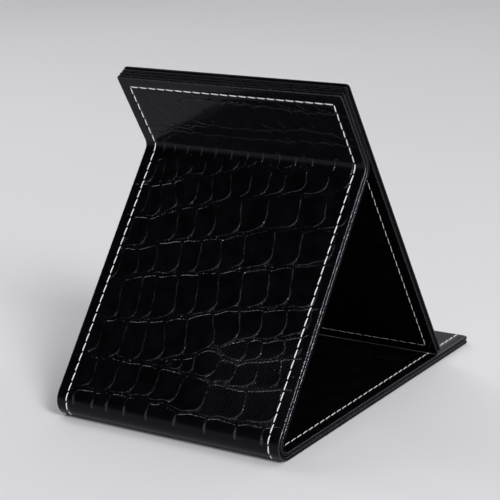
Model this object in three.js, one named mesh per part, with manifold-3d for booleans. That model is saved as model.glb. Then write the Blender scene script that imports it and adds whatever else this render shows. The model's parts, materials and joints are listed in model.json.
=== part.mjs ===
// Folding makeup mirror: a padded two-leaf cover folded into a stand, with a framed mirror panel
// bonded to the upper end of its back cover. Millimetres, +Z up. The base lies on Z = 0,
// the glass faces -Y and the spine is at +Y.
import * as THREE from 'three';
import { mergeVertices } from 'three/addons/utils/BufferGeometryUtils.js';
import Module from 'manifold-3d';

const wasm = await Module();
wasm.setup();

// Cover. Lengths are measured along the lining, from the corner where the lining planes
// of base and leg would meet at the spine.
const PANEL_WIDTH = 120;
const BASE_LENGTH = 180;
const LEG_LENGTH = 135;
const UPPER_LENGTH = 43;
const STAND_ANGLE = THREE.MathUtils.degToRad(52.4);
const SPINE_RADIUS = 7.8;
const CREASE_RADIUS = 4;
const CORNER_RADIUS = 1.6;
const FOLD_CORNER_RADIUS = 0.5;
const EDGE_RADIUS = 0.8;

// Layers of a leaf: a skin turned round a board, and the films that bond the layers
const SKIN = 0.6;
const COVER_BOARD = 1.2;
const MIRROR_BOARD = 0.7;
const GLUE_LINE = 0.1;
const LEAF_GAP = 0.2;
const FOLD_GAP = 0.3;

// Mirror panel
const GLASS_THICKNESS = 1.1;
const SILVER_THICKNESS = 0.1;
const GLASS_TAPE = 0.2;
const GLASS_TAPE_MARGIN = 8;
const BOND_TAPE = 0.2;
const BOND_TAPE_MARGIN = 3;
const BEZEL_WIDTH = 11;
const WINDOW_CORNER_RADIUS = 2;
const GLASS_LIP = 2.5;
const GLASS_CLEARANCE = 0.3;
const GLASS_CORNER_RADIUS = 1.5;
const FOOT_CLEARANCE = 0.3;
const SPINE_CLEARANCE = 0.5;

// Sewing thread, laid in a shallow groove
const STITCH_INSET = 5.7;
const STITCH_CORNER_RADIUS = 1.5;
const THREAD_WIDTH = 0.8;
const THREAD_HEIGHT = 0.3;
const THREAD_PROUD = 0.1;
const THREAD_SUNK = -0.05;
const THREAD_END = 1.5;
const GROOVE_CLEARANCE = 0.1;

// Facets of the round stretches
const CORNER_STEPS = 4;
const EDGE_STEPS = 3;
const FOLD_STEPS = 8;
const SMALLEST_CORNER = 0.3;
const MERGE_TOLERANCE = 1e-4;

// Derived layers
const COVER_LEAF = SKIN + GLUE_LINE + COVER_BOARD;
const COVER = 2 * COVER_LEAF + LEAF_GAP;
const MIRROR_BACK_LEAF = SKIN + GLUE_LINE + MIRROR_BOARD;
const MIRROR_FRONT_LEAF = SKIN + GLUE_LINE + GLASS_THICKNESS + GLUE_LINE + SILVER_THICKNESS;
const GLASS_TAPE_ROOM = GLASS_TAPE + 2 * GLUE_LINE;
const BOND_TAPE_ROOM = BOND_TAPE + 2 * GLUE_LINE;
const HALF_WIDTH = PANEL_WIDTH / 2;
const ROW_X = HALF_WIDTH - STITCH_INSET;

// Derived profile. The spine is an arc that runs tangent into base and leg.
const SPINE_INNER_RADIUS = SPINE_RADIUS - COVER;
const SPINE_TANGENT = SPINE_INNER_RADIUS / Math.tan(STAND_ANGLE / 2);
const SPINE_SWEEP = Math.PI - STAND_ANGLE;
const SPINE_Y = (BASE_LENGTH - SPINE_RADIUS + SPINE_TANGENT) / 2;
const MIRROR_DROP = LEG_LENGTH - SPINE_TANGENT - SPINE_CLEARANCE;

// The mirror leans until the rounded lower back edge rests just over the base's lining:
// (drop - edge) * sin(lean) + (offset + edge) * cos(lean) = height of the crease axis less the foot's room.
const MIRROR_OFFSET = COVER / 2 + BOND_TAPE_ROOM;
const CREASE_HEIGHT = LEG_LENGTH * Math.sin(STAND_ANGLE) + (COVER / 2) * Math.cos(STAND_ANGLE);
const FOOT_ALONG = MIRROR_DROP - EDGE_RADIUS;
const FOOT_ACROSS = MIRROR_OFFSET + EDGE_RADIUS;
const FOOT_RISE = CREASE_HEIGHT - EDGE_RADIUS - FOOT_CLEARANCE;
const MIRROR_LEAN = Math.PI - Math.asin(FOOT_RISE / Math.hypot(FOOT_ALONG, FOOT_ACROSS))
  - Math.atan2(FOOT_ACROSS, FOOT_ALONG);
const CREASE_SWEEP = MIRROR_LEAN - STAND_ANGLE;
const CREASE_SETBACK = (CREASE_RADIUS + COVER / 2) * Math.tan(CREASE_SWEEP / 2);

// Finishes, one fresh material for each piece
const finishes = {
  skin: { color: 0x121217, roughness: 0.32, metalness: 0 },
  lining: { color: 0x0b0b0d, roughness: 0.38, metalness: 0 },
  board: { color: 0x8f8270, roughness: 0.9, metalness: 0 },
  filler: { color: 0x3b3b3e, roughness: 0.95, metalness: 0 },
  thread: { color: 0xe9e7e1, roughness: 0.7, metalness: 0 },
  tape: { color: 0xf1efe6, roughness: 0.8, metalness: 0 },
  glass: { color: 0xcfd8da, roughness: 0.03, metalness: 0 },
  silver: { color: 0xdfe2e4, roughness: 0.08, metalness: 1 },
};

function addPiece(group, name, finish, geometry) {
  const material = new THREE.MeshStandardMaterial({ ...finishes[finish], flatShading: true });
  const mesh = new THREE.Mesh(geometry, material);
  mesh.name = name;
  group.add(mesh);
}

// A rectangle with round corners. Its low and high ends may have different radii.
function outlineOf(halfWidth, low, high, lowRadius, highRadius) {
  return { halfWidth, low, high, lowRadius, highRadius };
}

function drawnIn(outline, inset, cornerRadius) {
  const { halfWidth, low, high } = outline;
  return outlineOf(halfWidth - inset, low + inset, high - inset, cornerRadius, cornerRadius);
}

// The outline's points, counterclockwise, drawn in by an inset at one height
function ring(outline, inset, z) {
  const x = outline.halfWidth - inset;
  const low = outline.low + inset;
  const high = outline.high - inset;
  const lowRadius = Math.max(outline.lowRadius - inset, SMALLEST_CORNER);
  const highRadius = Math.max(outline.highRadius - inset, SMALLEST_CORNER);
  const corners = [
    [x - lowRadius, low + lowRadius, lowRadius],
    [x - highRadius, high - highRadius, highRadius],
    [highRadius - x, high - highRadius, highRadius],
    [lowRadius - x, low + lowRadius, lowRadius],
  ];
  const points = [];
  corners.forEach(([centreX, centreY, radius], quarter) => {
    for (let step = 0; step <= CORNER_STEPS; step += 1) {
      const angle = (quarter - 1 + step / CORNER_STEPS) * (Math.PI / 2);
      const px = centreX + radius * Math.cos(angle);
      const py = centreY + radius * Math.sin(angle);
      points.push(new THREE.Vector3(px, py, z));
    }
  });
  return points;
}

// Joins rings into a closed skin: a hoop if it loops, else capped at both ends
function loft(rings, loops) {
  const count = rings[0].length;
  const bands = loops ? rings.length : rings.length - 1;
  const index = [];
  for (let band = 0; band < bands; band += 1) {
    const a = band * count;
    const b = ((band + 1) % rings.length) * count;
    for (let i = 0; i < count; i += 1) {
      const j = (i + 1) % count;
      index.push(a + i, a + j, b + j);
      index.push(a + i, b + j, b + i);
    }
  }
  if (!loops) {
    const last = (rings.length - 1) * count;
    for (let i = 1; i < count - 1; i += 1) {
      index.push(0, i + 1, i);
      index.push(last, last + i, last + i + 1);
    }
  }
  const geometry = new THREE.BufferGeometry().setFromPoints(rings.flat());
  geometry.setIndex(index);
  return geometry;
}

function slab(outline, inset, bottom, top) {
  return loft([ring(outline, inset, bottom), ring(outline, inset, top)], false);
}

// A hoop of rectangular section between an outer and an inner outline
function hoop(outer, outerInset, inner, innerInset, bottom, top) {
  const section = [
    ring(inner, innerInset, bottom),
    ring(outer, outerInset, bottom),
    ring(outer, outerInset, top),
    ring(inner, innerInset, top),
  ];
  return loft(section, true);
}

// Rings of a skin turned over a board: open below, its face above with a round edge
function trayRings(outline, height) {
  const rings = [
    ring(outline, SKIN, height - SKIN),
    ring(outline, SKIN, 0),
    ring(outline, 0, 0),
  ];
  for (let step = 0; step <= EDGE_STEPS; step += 1) {
    const angle = (step / EDGE_STEPS) * (Math.PI / 2);
    const inset = EDGE_RADIUS * (1 - Math.cos(angle));
    const z = height - EDGE_RADIUS * (1 - Math.sin(angle));
    rings.push(ring(outline, inset, z));
  }
  return rings;
}

function extruded(shape, depth, curveSegments) {
  return new THREE.ExtrudeGeometry(shape, { depth, bevelEnabled: false, curveSegments });
}

// A band of a fold: a ring sector in the along-outward plane, run across the panel
function foldBand(centre, radii, angles, acrossFrom, acrossTo) {
  const [inner, outer] = radii;
  const [start, end] = angles;
  const shape = new THREE.Shape();
  shape.absarc(centre.x, centre.y, outer, start, end, false);
  shape.absarc(centre.x, centre.y, inner, end, start, true);
  shape.closePath();
  const geometry = extruded(shape, acrossTo - acrossFrom, FOLD_STEPS);
  const along = new THREE.Vector3(0, 1, 0);
  const outward = new THREE.Vector3(0, 0, 1);
  const across = new THREE.Vector3(1, 0, 0);
  geometry.applyMatrix4(new THREE.Matrix4().makeBasis(along, outward, across));
  geometry.translate(acrossFrom, 0, 0);
  return geometry;
}

function toSolid(geometry) {
  const bare = new THREE.BufferGeometry();
  bare.setAttribute('position', geometry.getAttribute('position'));
  bare.setIndex(geometry.getIndex());
  const merged = mergeVertices(bare, MERGE_TOLERANCE);
  const vertProperties = new Float32Array(merged.getAttribute('position').array);
  const triVerts = new Uint32Array(merged.getIndex().array);
  return new wasm.Manifold(new wasm.Mesh({ numProp: 3, vertProperties, triVerts }));
}

function cutFrom(geometry, cutters) {
  let solid = toSolid(geometry);
  for (const cutter of cutters) {
    solid = solid.subtract(toSolid(cutter));
  }
  const { vertProperties, triVerts } = solid.getMesh();
  const cut = new THREE.BufferGeometry();
  cut.setAttribute('position', new THREE.BufferAttribute(vertProperties, 3));
  cut.setIndex(new THREE.BufferAttribute(triVerts, 1));
  return cut;
}

// Height and width of a thread on a face, and of the groove that takes it
function threadSize(face, proud) {
  const top = face + proud;
  return { width: THREAD_WIDTH, bottom: top - THREAD_HEIGHT, top };
}

function grooveSize(face, proud) {
  const thread = threadSize(face, proud);
  const width = thread.width + 2 * GROOVE_CLEARANCE;
  return { width, bottom: thread.bottom - GROOVE_CLEARANCE, top: face + THREAD_HEIGHT };
}

function straightRow(x, low, high, size) {
  const geometry = new THREE.BoxGeometry(size.width, high - low, size.top - size.bottom);
  geometry.translate(x, (low + high) / 2, (size.bottom + size.top) / 2);
  return geometry;
}

// A row up one side of the panel, across under its high end and down the other side
function archRow(low, high, size) {
  const cornerX = ROW_X - STITCH_CORNER_RADIUS;
  const cornerY = high - STITCH_CORNER_RADIUS;
  const outer = STITCH_CORNER_RADIUS + size.width / 2;
  const inner = STITCH_CORNER_RADIUS - size.width / 2;
  const shape = new THREE.Shape();
  shape.moveTo(cornerX + outer, low);
  shape.lineTo(cornerX + outer, cornerY);
  shape.absarc(cornerX, cornerY, outer, 0, Math.PI / 2, false);
  shape.absarc(-cornerX, cornerY, outer, Math.PI / 2, Math.PI, false);
  shape.lineTo(-cornerX - outer, low);
  shape.lineTo(-cornerX - inner, low);
  shape.absarc(-cornerX, cornerY, inner, Math.PI, Math.PI / 2, true);
  shape.absarc(cornerX, cornerY, inner, Math.PI / 2, 0, true);
  shape.lineTo(cornerX + inner, low);
  shape.closePath();
  const geometry = extruded(shape, size.top - size.bottom, CORNER_STEPS);
  geometry.translate(0, 0, size.bottom);
  return geometry;
}

function loopRow(outline, size) {
  const outerInset = STITCH_INSET - size.width / 2;
  const innerInset = STITCH_INSET + size.width / 2;
  const round = drawnIn(outline, STITCH_INSET, STITCH_CORNER_RADIUS);
  return hoop(round, outerInset - STITCH_INSET, round, innerInset - STITCH_INSET, size.bottom, size.top);
}

// Frames for the panels: x across, y along the panel, z out of the cover's outer face
function panelFrame(origin, along, outward) {
  const frame = new THREE.Group();
  const across = new THREE.Vector3().crossVectors(along, outward);
  frame.position.copy(origin);
  frame.quaternion.setFromRotationMatrix(new THREE.Matrix4().makeBasis(across, along, outward));
  return frame;
}

function leaning(angle) {
  return {
    along: new THREE.Vector3(0, -Math.cos(angle), Math.sin(angle)),
    outward: new THREE.Vector3(0, Math.sin(angle), Math.cos(angle)),
  };
}

// A leaf's own frame has z = 0 on its open side and its face at the leaf's thickness
function outerSide(frame, openAt) {
  const side = new THREE.Group();
  side.position.z = openAt;
  frame.add(side);
  return side;
}

function innerSide(frame, openAt) {
  const side = outerSide(frame, openAt);
  side.rotation.y = Math.PI;
  return side;
}

function addLeaf(side, name, finish, outline, height, grooves) {
  const skin = loft(trayRings(outline, height), false);
  addPiece(side, `${name}_skin`, finish, cutFrom(skin, grooves));
  const boardTop = height - SKIN - GLUE_LINE;
  addPiece(side, `${name}_board`, 'board', slab(outline, SKIN + GLUE_LINE, 0, boardTop));
}

// The two straight rows along a leaf's sides, as threads or as the grooves for them
function sideRows(low, high, size) {
  return [
    ['left', straightRow(-ROW_X, low, high, size)],
    ['right', straightRow(ROW_X, low, high, size)],
  ];
}

function addSideRows(side, name, low, high, proud) {
  for (const [hand, row] of sideRows(low, high, threadSize(COVER_LEAF, proud))) {
    addPiece(side, `${name}_thread_${hand}`, 'thread', row);
  }
}

function sideGrooves(low, high, proud) {
  const size = grooveSize(COVER_LEAF, proud);
  return sideRows(low - GROOVE_CLEARANCE, high + GROOVE_CLEARANCE, size).map(([, row]) => row);
}

// A panel of two leaves with a row of sewing down both sides of each face
function addSewnPanel(frame, name, outline, outerProud) {
  const low = outline.low + THREAD_END;
  const high = outline.high - THREAD_END;
  const faces = [
    ['outer', 'skin', outerSide(frame, COVER_LEAF + LEAF_GAP), outerProud],
    ['lining', 'lining', innerSide(frame, COVER_LEAF), THREAD_PROUD],
  ];
  for (const [face, finish, side, proud] of faces) {
    const grooves = sideGrooves(low, high, proud);
    addLeaf(side, `${name}_${face}`, finish, outline, COVER_LEAF, grooves);
    addSideRows(side, `${name}_${face}`, low, high, proud);
  }
}

// A fold of three layers: the cover's skin, a soft filler and the lining. layerRadii gives
// the radii of a layer from its depths under the outer face.
function addFold(frame, name, centre, angles, proud, layerRadii) {
  const across = [-HALF_WIDTH, HALF_WIDTH];
  const threadDepth = THREAD_HEIGHT - proud;
  const thread = [-proud, threadDepth];
  const groove = [-THREAD_HEIGHT, threadDepth + GROOVE_CLEARANCE];
  const hands = [['left', -ROW_X], ['right', ROW_X]];
  const reach = THREAD_WIDTH / 2;
  const grooves = [];
  for (const [hand, x] of hands) {
    const row = foldBand(centre, layerRadii(...thread), angles, x - reach, x + reach);
    addPiece(frame, `${name}_thread_${hand}`, 'thread', row);
    const wide = reach + GROOVE_CLEARANCE;
    grooves.push(foldBand(centre, layerRadii(...groove), angles, x - wide, x + wide));
  }
  const skin = foldBand(centre, layerRadii(0, SKIN), angles, ...across);
  addPiece(frame, `${name}_outer_skin`, 'skin', cutFrom(skin, grooves));
  const fillerRadii = layerRadii(SKIN + GLUE_LINE, COVER - SKIN - GLUE_LINE);
  addPiece(frame, `${name}_filler`, 'filler', foldBand(centre, fillerRadii, angles, ...across));
  const liningRadii = layerRadii(COVER - SKIN, COVER);
  addPiece(frame, `${name}_lining_skin`, 'lining', foldBand(centre, liningRadii, angles, ...across));
}

// Base: the front cover, lying on the table with its lining up
function addBase(model, corner) {
  const frame = panelFrame(corner, new THREE.Vector3(0, -1, 0), new THREE.Vector3(0, 0, -1));
  const low = SPINE_TANGENT + FOLD_GAP;
  const outline = outlineOf(HALF_WIDTH, low, BASE_LENGTH, FOLD_CORNER_RADIUS, CORNER_RADIUS);
  addSewnPanel(frame, 'base', outline, THREAD_SUNK);

  const centre = new THREE.Vector2(SPINE_TANGENT, -SPINE_INNER_RADIUS);
  const angles = [Math.PI / 2, Math.PI / 2 + SPINE_SWEEP];
  const layerRadii = (from, to) => [SPINE_RADIUS - to, SPINE_RADIUS - from];
  addFold(frame, 'spine', centre, angles, THREAD_SUNK, layerRadii);
  model.add(frame);
}

// Leg: the lower part of the back cover, up to the crease
function addLeg(model, corner) {
  const { along, outward } = leaning(STAND_ANGLE);
  const frame = panelFrame(corner, along, outward);
  const low = SPINE_TANGENT + FOLD_GAP;
  const high = LEG_LENGTH - CREASE_SETBACK - FOLD_GAP;
  const outline = outlineOf(HALF_WIDTH, low, high, FOLD_CORNER_RADIUS, FOLD_CORNER_RADIUS);
  addSewnPanel(frame, 'leg', outline, THREAD_PROUD);

  const centre = new THREE.Vector2(LEG_LENGTH - CREASE_SETBACK, COVER + CREASE_RADIUS);
  const angles = [-Math.PI / 2, CREASE_SWEEP - Math.PI / 2];
  const layerRadii = (from, to) => [CREASE_RADIUS + from, CREASE_RADIUS + to];
  addFold(frame, 'crease', centre, angles, THREAD_PROUD, layerRadii);
  model.add(frame);
}

// Upper: the end of the back cover above the crease, sewn round three sides
function addUpper(frame) {
  const low = CREASE_SETBACK + FOLD_GAP;
  const outline = outlineOf(HALF_WIDTH, low, UPPER_LENGTH, FOLD_CORNER_RADIUS, CORNER_RADIUS);
  const outer = outerSide(frame, COVER_LEAF + LEAF_GAP);
  const rowLow = low + THREAD_END;
  const rowHigh = UPPER_LENGTH - STITCH_INSET;
  const groove = archRow(rowLow - GROOVE_CLEARANCE, rowHigh, grooveSize(COVER_LEAF, THREAD_PROUD));
  addLeaf(outer, 'upper_outer', 'skin', outline, COVER_LEAF, [groove]);
  const thread = archRow(rowLow, rowHigh, threadSize(COVER_LEAF, THREAD_PROUD));
  addPiece(outer, 'upper_thread', 'thread', thread);
  addLeaf(innerSide(frame, COVER_LEAF), 'upper_lining', 'lining', outline, COVER_LEAF, []);

  const tape = slab(outline, BOND_TAPE_MARGIN, -GLUE_LINE - BOND_TAPE, -GLUE_LINE);
  addPiece(frame, 'bonding_tape', 'tape', tape);
}

// Mirror panel: a sewn back leaf, and a front leaf that frames the glass
function addMirror(frame) {
  const outline = outlineOf(HALF_WIDTH, -MIRROR_DROP, UPPER_LENGTH, CORNER_RADIUS, CORNER_RADIUS);
  const backOpenAt = -BOND_TAPE_ROOM - MIRROR_BACK_LEAF;
  const back = outerSide(frame, backOpenAt);
  const backGroove = loopRow(outline, grooveSize(MIRROR_BACK_LEAF, THREAD_PROUD));
  addLeaf(back, 'mirror_back', 'lining', outline, MIRROR_BACK_LEAF, [backGroove]);
  const backThread = loopRow(outline, threadSize(MIRROR_BACK_LEAF, THREAD_PROUD));
  addPiece(back, 'mirror_back_thread', 'thread', backThread);

  const front = innerSide(frame, backOpenAt - GLASS_TAPE_ROOM);
  const window = drawnIn(outline, BEZEL_WIDTH, WINDOW_CORNER_RADIUS);
  const glass = drawnIn(outline, BEZEL_WIDTH - GLASS_LIP, GLASS_CORNER_RADIUS);
  const face = MIRROR_FRONT_LEAF;
  const bezelRings = trayRings(outline, face);
  bezelRings.push(ring(window, 0, face), ring(window, 0, face - SKIN));
  const frontGroove = loopRow(outline, grooveSize(face, THREAD_PROUD));
  addPiece(front, 'bezel_skin', 'skin', cutFrom(loft(bezelRings, true), [frontGroove]));
  const frontThread = loopRow(outline, threadSize(face, THREAD_PROUD));
  addPiece(front, 'mirror_front_thread', 'thread', frontThread);

  const under = face - SKIN - GLUE_LINE;
  const spacer = hoop(outline, SKIN + GLUE_LINE, glass, -GLASS_CLEARANCE, 0, under);
  addPiece(front, 'spacer_frame', 'board', spacer);
  const glassBack = under - GLASS_THICKNESS;
  addPiece(front, 'mirror_glass', 'glass', slab(glass, 0, glassBack, under));
  const silverTop = glassBack - GLUE_LINE;
  addPiece(front, 'mirror_silvering', 'silver', slab(glass, 0, silverTop - SILVER_THICKNESS, silverTop));
  const tape = slab(glass, GLASS_TAPE_MARGIN, -GLUE_LINE - GLASS_TAPE, -GLUE_LINE);
  addPiece(front, 'glass_tape', 'tape', tape);
}

function buildMirror() {
  const model = new THREE.Group();
  const corner = new THREE.Vector3(0, SPINE_Y, COVER);
  addBase(model, corner);
  addLeg(model, corner);

  // The upper cover and the mirror panel lean together about the crease axis,
  // which lies half way through the cover.
  const leg = leaning(STAND_ANGLE);
  const lean = leaning(MIRROR_LEAN);
  const creaseAxis = corner.clone().addScaledVector(leg.along, LEG_LENGTH);
  creaseAxis.addScaledVector(leg.outward, COVER / 2);
  const origin = creaseAxis.clone().addScaledVector(lean.outward, -COVER / 2);
  const frame = panelFrame(origin, lean.along, lean.outward);
  addUpper(frame);
  addMirror(frame);
  model.add(frame);
  return model;
}

export default buildMirror();
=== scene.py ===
import json
import math

import bmesh
import bpy
import numpy as np
from mathutils import Matrix, Vector


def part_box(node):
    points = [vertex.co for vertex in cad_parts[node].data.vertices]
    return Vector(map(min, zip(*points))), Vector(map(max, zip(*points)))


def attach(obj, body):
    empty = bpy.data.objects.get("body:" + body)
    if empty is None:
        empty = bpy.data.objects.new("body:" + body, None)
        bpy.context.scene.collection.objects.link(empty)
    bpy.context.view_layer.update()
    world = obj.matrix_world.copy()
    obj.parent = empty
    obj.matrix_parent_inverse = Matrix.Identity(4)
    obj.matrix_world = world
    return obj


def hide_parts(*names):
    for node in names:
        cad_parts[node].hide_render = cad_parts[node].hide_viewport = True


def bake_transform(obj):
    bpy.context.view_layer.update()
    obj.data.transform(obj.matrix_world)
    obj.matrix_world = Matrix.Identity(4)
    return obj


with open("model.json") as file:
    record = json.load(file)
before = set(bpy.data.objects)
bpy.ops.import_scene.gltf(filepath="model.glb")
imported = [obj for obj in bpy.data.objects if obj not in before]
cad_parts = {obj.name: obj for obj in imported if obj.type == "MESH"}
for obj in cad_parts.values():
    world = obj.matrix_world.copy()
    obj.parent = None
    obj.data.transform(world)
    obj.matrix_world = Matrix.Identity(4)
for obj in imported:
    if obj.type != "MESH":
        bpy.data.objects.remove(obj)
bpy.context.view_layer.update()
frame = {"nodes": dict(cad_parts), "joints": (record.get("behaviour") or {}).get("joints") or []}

# Sizes are in millimetres and angles in radians where nothing else is said. Meshes are turned into metres
# where they are made.
MM = 0.001
RIGHT_ANGLE_DEGREES = 90

# The photo's camera, fitted to the outline and the sewing. Its reach is in metres.
CAMERA_AZIMUTH = math.radians(213.398)
CAMERA_ELEVATION = math.radians(15.803)
CAMERA_ROLL = math.radians(-1.95)
CAMERA_DISTANCE = 786.1
CAMERA_AIM = (-0.99, 17.62, 68.97)
CAMERA_LENS = 122.5
CAMERA_SENSOR = 36.0
CAMERA_REACH = 20.0

# Leaves of board and leatherette. The bezel's counts are points on its long and short sides.
LEAF = 1.9
MIRROR_BACK_LEAF = 1.4
MIRROR_FRONT_LEAF = 2.0
MIRROR_FOOT_REACH = 0.22
BOND_ROOM = 0.4
CORNER = 1.6
CORNER_POINTS = 9
SPINE_RADIUS = 7.8
CREASE_RADIUS = 4.0
SEAM_BELOW_CREASE = 1.5
BEZEL_WIDTH = 11.0
BEZEL_SKIN = 0.6
BEZEL_DEEPEST = 0.25
BEZEL_SIDE_COUNTS = (170, 120)
WINDOW_CORNER = 2.0
LIP_POINTS = 7

# Turned edges with their ripples, in radians per millimetre, and the faint waves of the smooth sheets, in
# millimetres per radian
EDGE = 0.8
EDGE_POWER = 2.2
EDGE_ANGLES = np.radians((0, 14, 28, 44, 60, 75, 90))
END_ANGLES = EDGE_ANGLES[1:]
EDGE_RIPPLE = 0.03
RIPPLE_FADE = 3 * EDGE
RIPPLE_ALONG = (1.9, 4.3)
RIPPLE_ACROSS = 2.3
RELIEF_FADE = 2 * EDGE
SHEET_SINK = 0.05
SHEET_WAVE = 0.03
LINING_WAVE = (9.0, 23.0)
LINING_WAVE_ALONG = 14.0
MIRROR_WAVE = (11.0, 19.0)

# Steps of the meshes
FINE_STEP = 0.42
UPPER_STEP = 0.32
PLAIN_STEP = 0.9
LINING_STEP = 1.2
BEZEL_STEP = 0.8
HIDDEN_COLUMNS = 9
SHARP_ANGLE = math.radians(50)

# Sewing. A thread's stand is how high its middle lies over the face, and it is sunk on the table's side.
STITCH_INSET = 5.7
STITCH_PITCH = 4.9
STITCH_LENGTH = 4.1
STITCH_SLANT = math.radians(4)
SEWING_START = 0.5
THREAD_RADIUS = 0.26
LINING_THREAD_RADIUS = 0.17
MIRROR_THREAD_RADIUS = 0.12
MIRROR_FOOT_THREAD_RADIUS = 0.04
THREAD_STAND = -0.08
THREAD_SUNK = -0.32
THREAD_DIP_POWER = 4
THREAD_PLIES = 2
THREAD_PLY = 0.16
THREAD_TWISTS = 2.5
THREAD_TAPER = 0.45
THREAD_TAPER_POWER = 6
THREAD_RINGS = 13
THREAD_SIDES = 8
HOLE_RADIUS = 0.45
HOLE_DEPTH = 0.35
PUCKER_RADIUS = 0.9
PUCKER_DEPTH = 0.14
PUCKER_RUN = 1.2

# Grooves round the embossed scales, and the mesh's gathering to them. The uneven waves are in radians per
# millimetre, across and along.
GROOVE_DEPTH = 0.3
GROOVE_RADIUS = 0.2
GROOVE_REACH = 3.5
GROOVE_UNEVEN = 0.45
UNEVEN_FINE = ((2.9, 1.3), (1.1, -2.6))
UNEVEN_BROAD = (0.35, 0.5)
UNEVEN_BROAD_SHARE = 0.5
PILLOW_DEPTH = 0.06
DEEPEST_RELIEF = 0.62
PLAIN_RELIEF = 0.07
GATHER_REACH = 2.4
GATHER_POWER = 2.5
LEAST_SHARE = 1e-6
LEAST_SQUARE = 1e-9

# Outline of a scale. Its corners take at most one part in so many of its width and height, and its slope is
# read over one such part of the usual width to each side.
SCALE_TOP_CORNER = 0.9
SCALE_TOP_PARTS = 4
SCALE_FOOT_CORNER = 4.2
SCALE_FOOT_PARTS = 2.4
SCALE_FOOT_CHAMFER = 0.4
SCALE_FOOT_RUN = 1.9
SCALE_FOOT_SINK = 1.7
SCALE_SLOPE_PARTS = 3
SIDE_STRENGTH = 0.68
END_STRENGTH = 0.75
LEG_SCALES = {"arch": 0.3, "gap": 0.65, "foot_boost": 0.7}
UPPER_SCALES = {"arch": 1.4, "gap": 0.6, "foot_boost": 0.1}
RUN_POINTS = 9
BEND_POINTS = 6
ROW_PHASE = 1.9
ROW_GAP_SWING = 1.1
ROW_GAP_WAVE = 8.0

# Small bends of the grooves, as (size, (length across, length up)), and wrinkles between the rows
LINE_STEP = 1.1
LINE_ROUNDING = (-3.0, -1.5, 0.0, 1.5, 3.0)
WOBBLE = 0.24
WOBBLE_SIDEWAYS = ((0.6, (7, 2.7)), (0.6, (-4, 1.1)))
WOBBLE_UPWARDS = ((1.0, (2.3, 9)), (0.6, (1.2, -6)))
WRINKLE_SWING = 1.3
WRINKLE_WAVES = (5.3, 13.1)
WRINKLE_STRENGTH = 0.9
WRINKLE_BREAKS = (3.7, 1.9)
WRINKLE_BREAK_SHARE = 0.5
WRINKLE_PHASES = ((2.3, 0), (1.3, 2))

# How strong the embossing is on each part, and where along the way one strength gives way to the next. The
# leg's grooves run on over the spine and end there as wider, deeper cuts.
BASE_RELIEF = 0.8
BASE_FADE = 6.0
SPINE_CUTS_OVER = 10.0
SPINE_CUTS_END = (5.5, 4.0)
SPINE_BLEND = 2.0
SPINE_OPEN = 1.6
SPINE_WIDEN = 0.6
LEFT_RELIEF = 0.7
RIGHT_RELIEF = 1.15
MARGIN_RELIEF = 0.8
CREASE_RELIEF = 1.2
CREASE_FADE = (-1.0, 1.5)
UPPER_RELIEF = 0.45
UPPER_FADE = (-1.0, 2.0)

# Lines between the rows of scales on the leg, the lowest first, as (across, up) from the leg's left edge as
# the photo shows it and from the inside corner of the spine. The fourth and fifth part on the right only. The
# cuts are the places across, row by row, where one scale ends and the next begins.
LEG_LINES = (
    ((0, -4), (120, -4)),
    ((0, 11), (17, 11.5), (38, 12.3), (58, 12.2), (66, 10.2), (95, 10.3), (111, 12.2), (120, 13)),
    ((0, 27), (32, 28), (44, 28.5), (60, 27.5), (85, 25.3), (98, 25.8), (120, 30)),
    ((44, 29), (59, 34), (65, 35.5), (71, 41), (76, 41), (82, 36.6), (90, 37), (106, 40.8), (120, 45)),
    ((0, 27), (32, 28), (44, 29), (59, 34), (65, 35.5), (71, 41), (78, 41.8), (84, 46.5), (100, 48.8),
     (120, 56)),
    ((0, 45.2), (20, 46), (35, 47.8), (57, 54), (80, 60.3), (104, 64.8), (120, 67)),
    ((0, 63.5), (14, 64.5), (22, 69), (38, 71.5), (54, 74), (75, 79), (100, 84), (120, 88)),
    ((0, 81), (15, 81.5), (28, 86.5), (44, 89.3), (60, 92.7), (77, 98.5), (92, 100.5), (120, 104)),
    ((0, 97.3), (20, 97.8), (27, 102.8), (43, 106.5), (63, 112.3), (84, 116.7), (105, 119), (120, 126)),
    ((0, 113.5), (17, 114), (30, 120.5), (40, 120), (57, 127), (81, 128.5), (120, 138)),
    ((0, 127), (16, 128), (40, 136), (80, 144), (120, 152)),
)
LEG_CUTS = (
    (9.5, 20.5, 28.5, 38, 50.3, 65.5, 81.5, 97.5, 111),
    (16, 28, 39.7, 50.2, 63, 77.3, 97.5, 114),
    (54, 59.8, 66, 78, 88, 98.7, 110),
    (90, 97.5, 108, 116),
    (12.3, 25, 36.5, 46.8, 57.5, 70.5, 82.5, 93, 105, 116),
    (15.8, 26, 33.5, 45, 55.5, 66, 77.5, 90.5, 101.5, 115),
    (8.7, 18.5, 27.5, 40, 50.2, 61, 72.5, 86.5, 100, 116),
    (8, 17.5, 32.5, 42, 52, 64.7, 77.5, 93.5, 106.5, 117),
    (11.3, 18.8, 26, 37.3, 45, 54, 64, 73.5, 81.5, 92, 103, 114),
    (10, 14.8, 22, 29.5, 36.5, 45, 54, 63, 73, 84, 95, 106),
)

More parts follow.
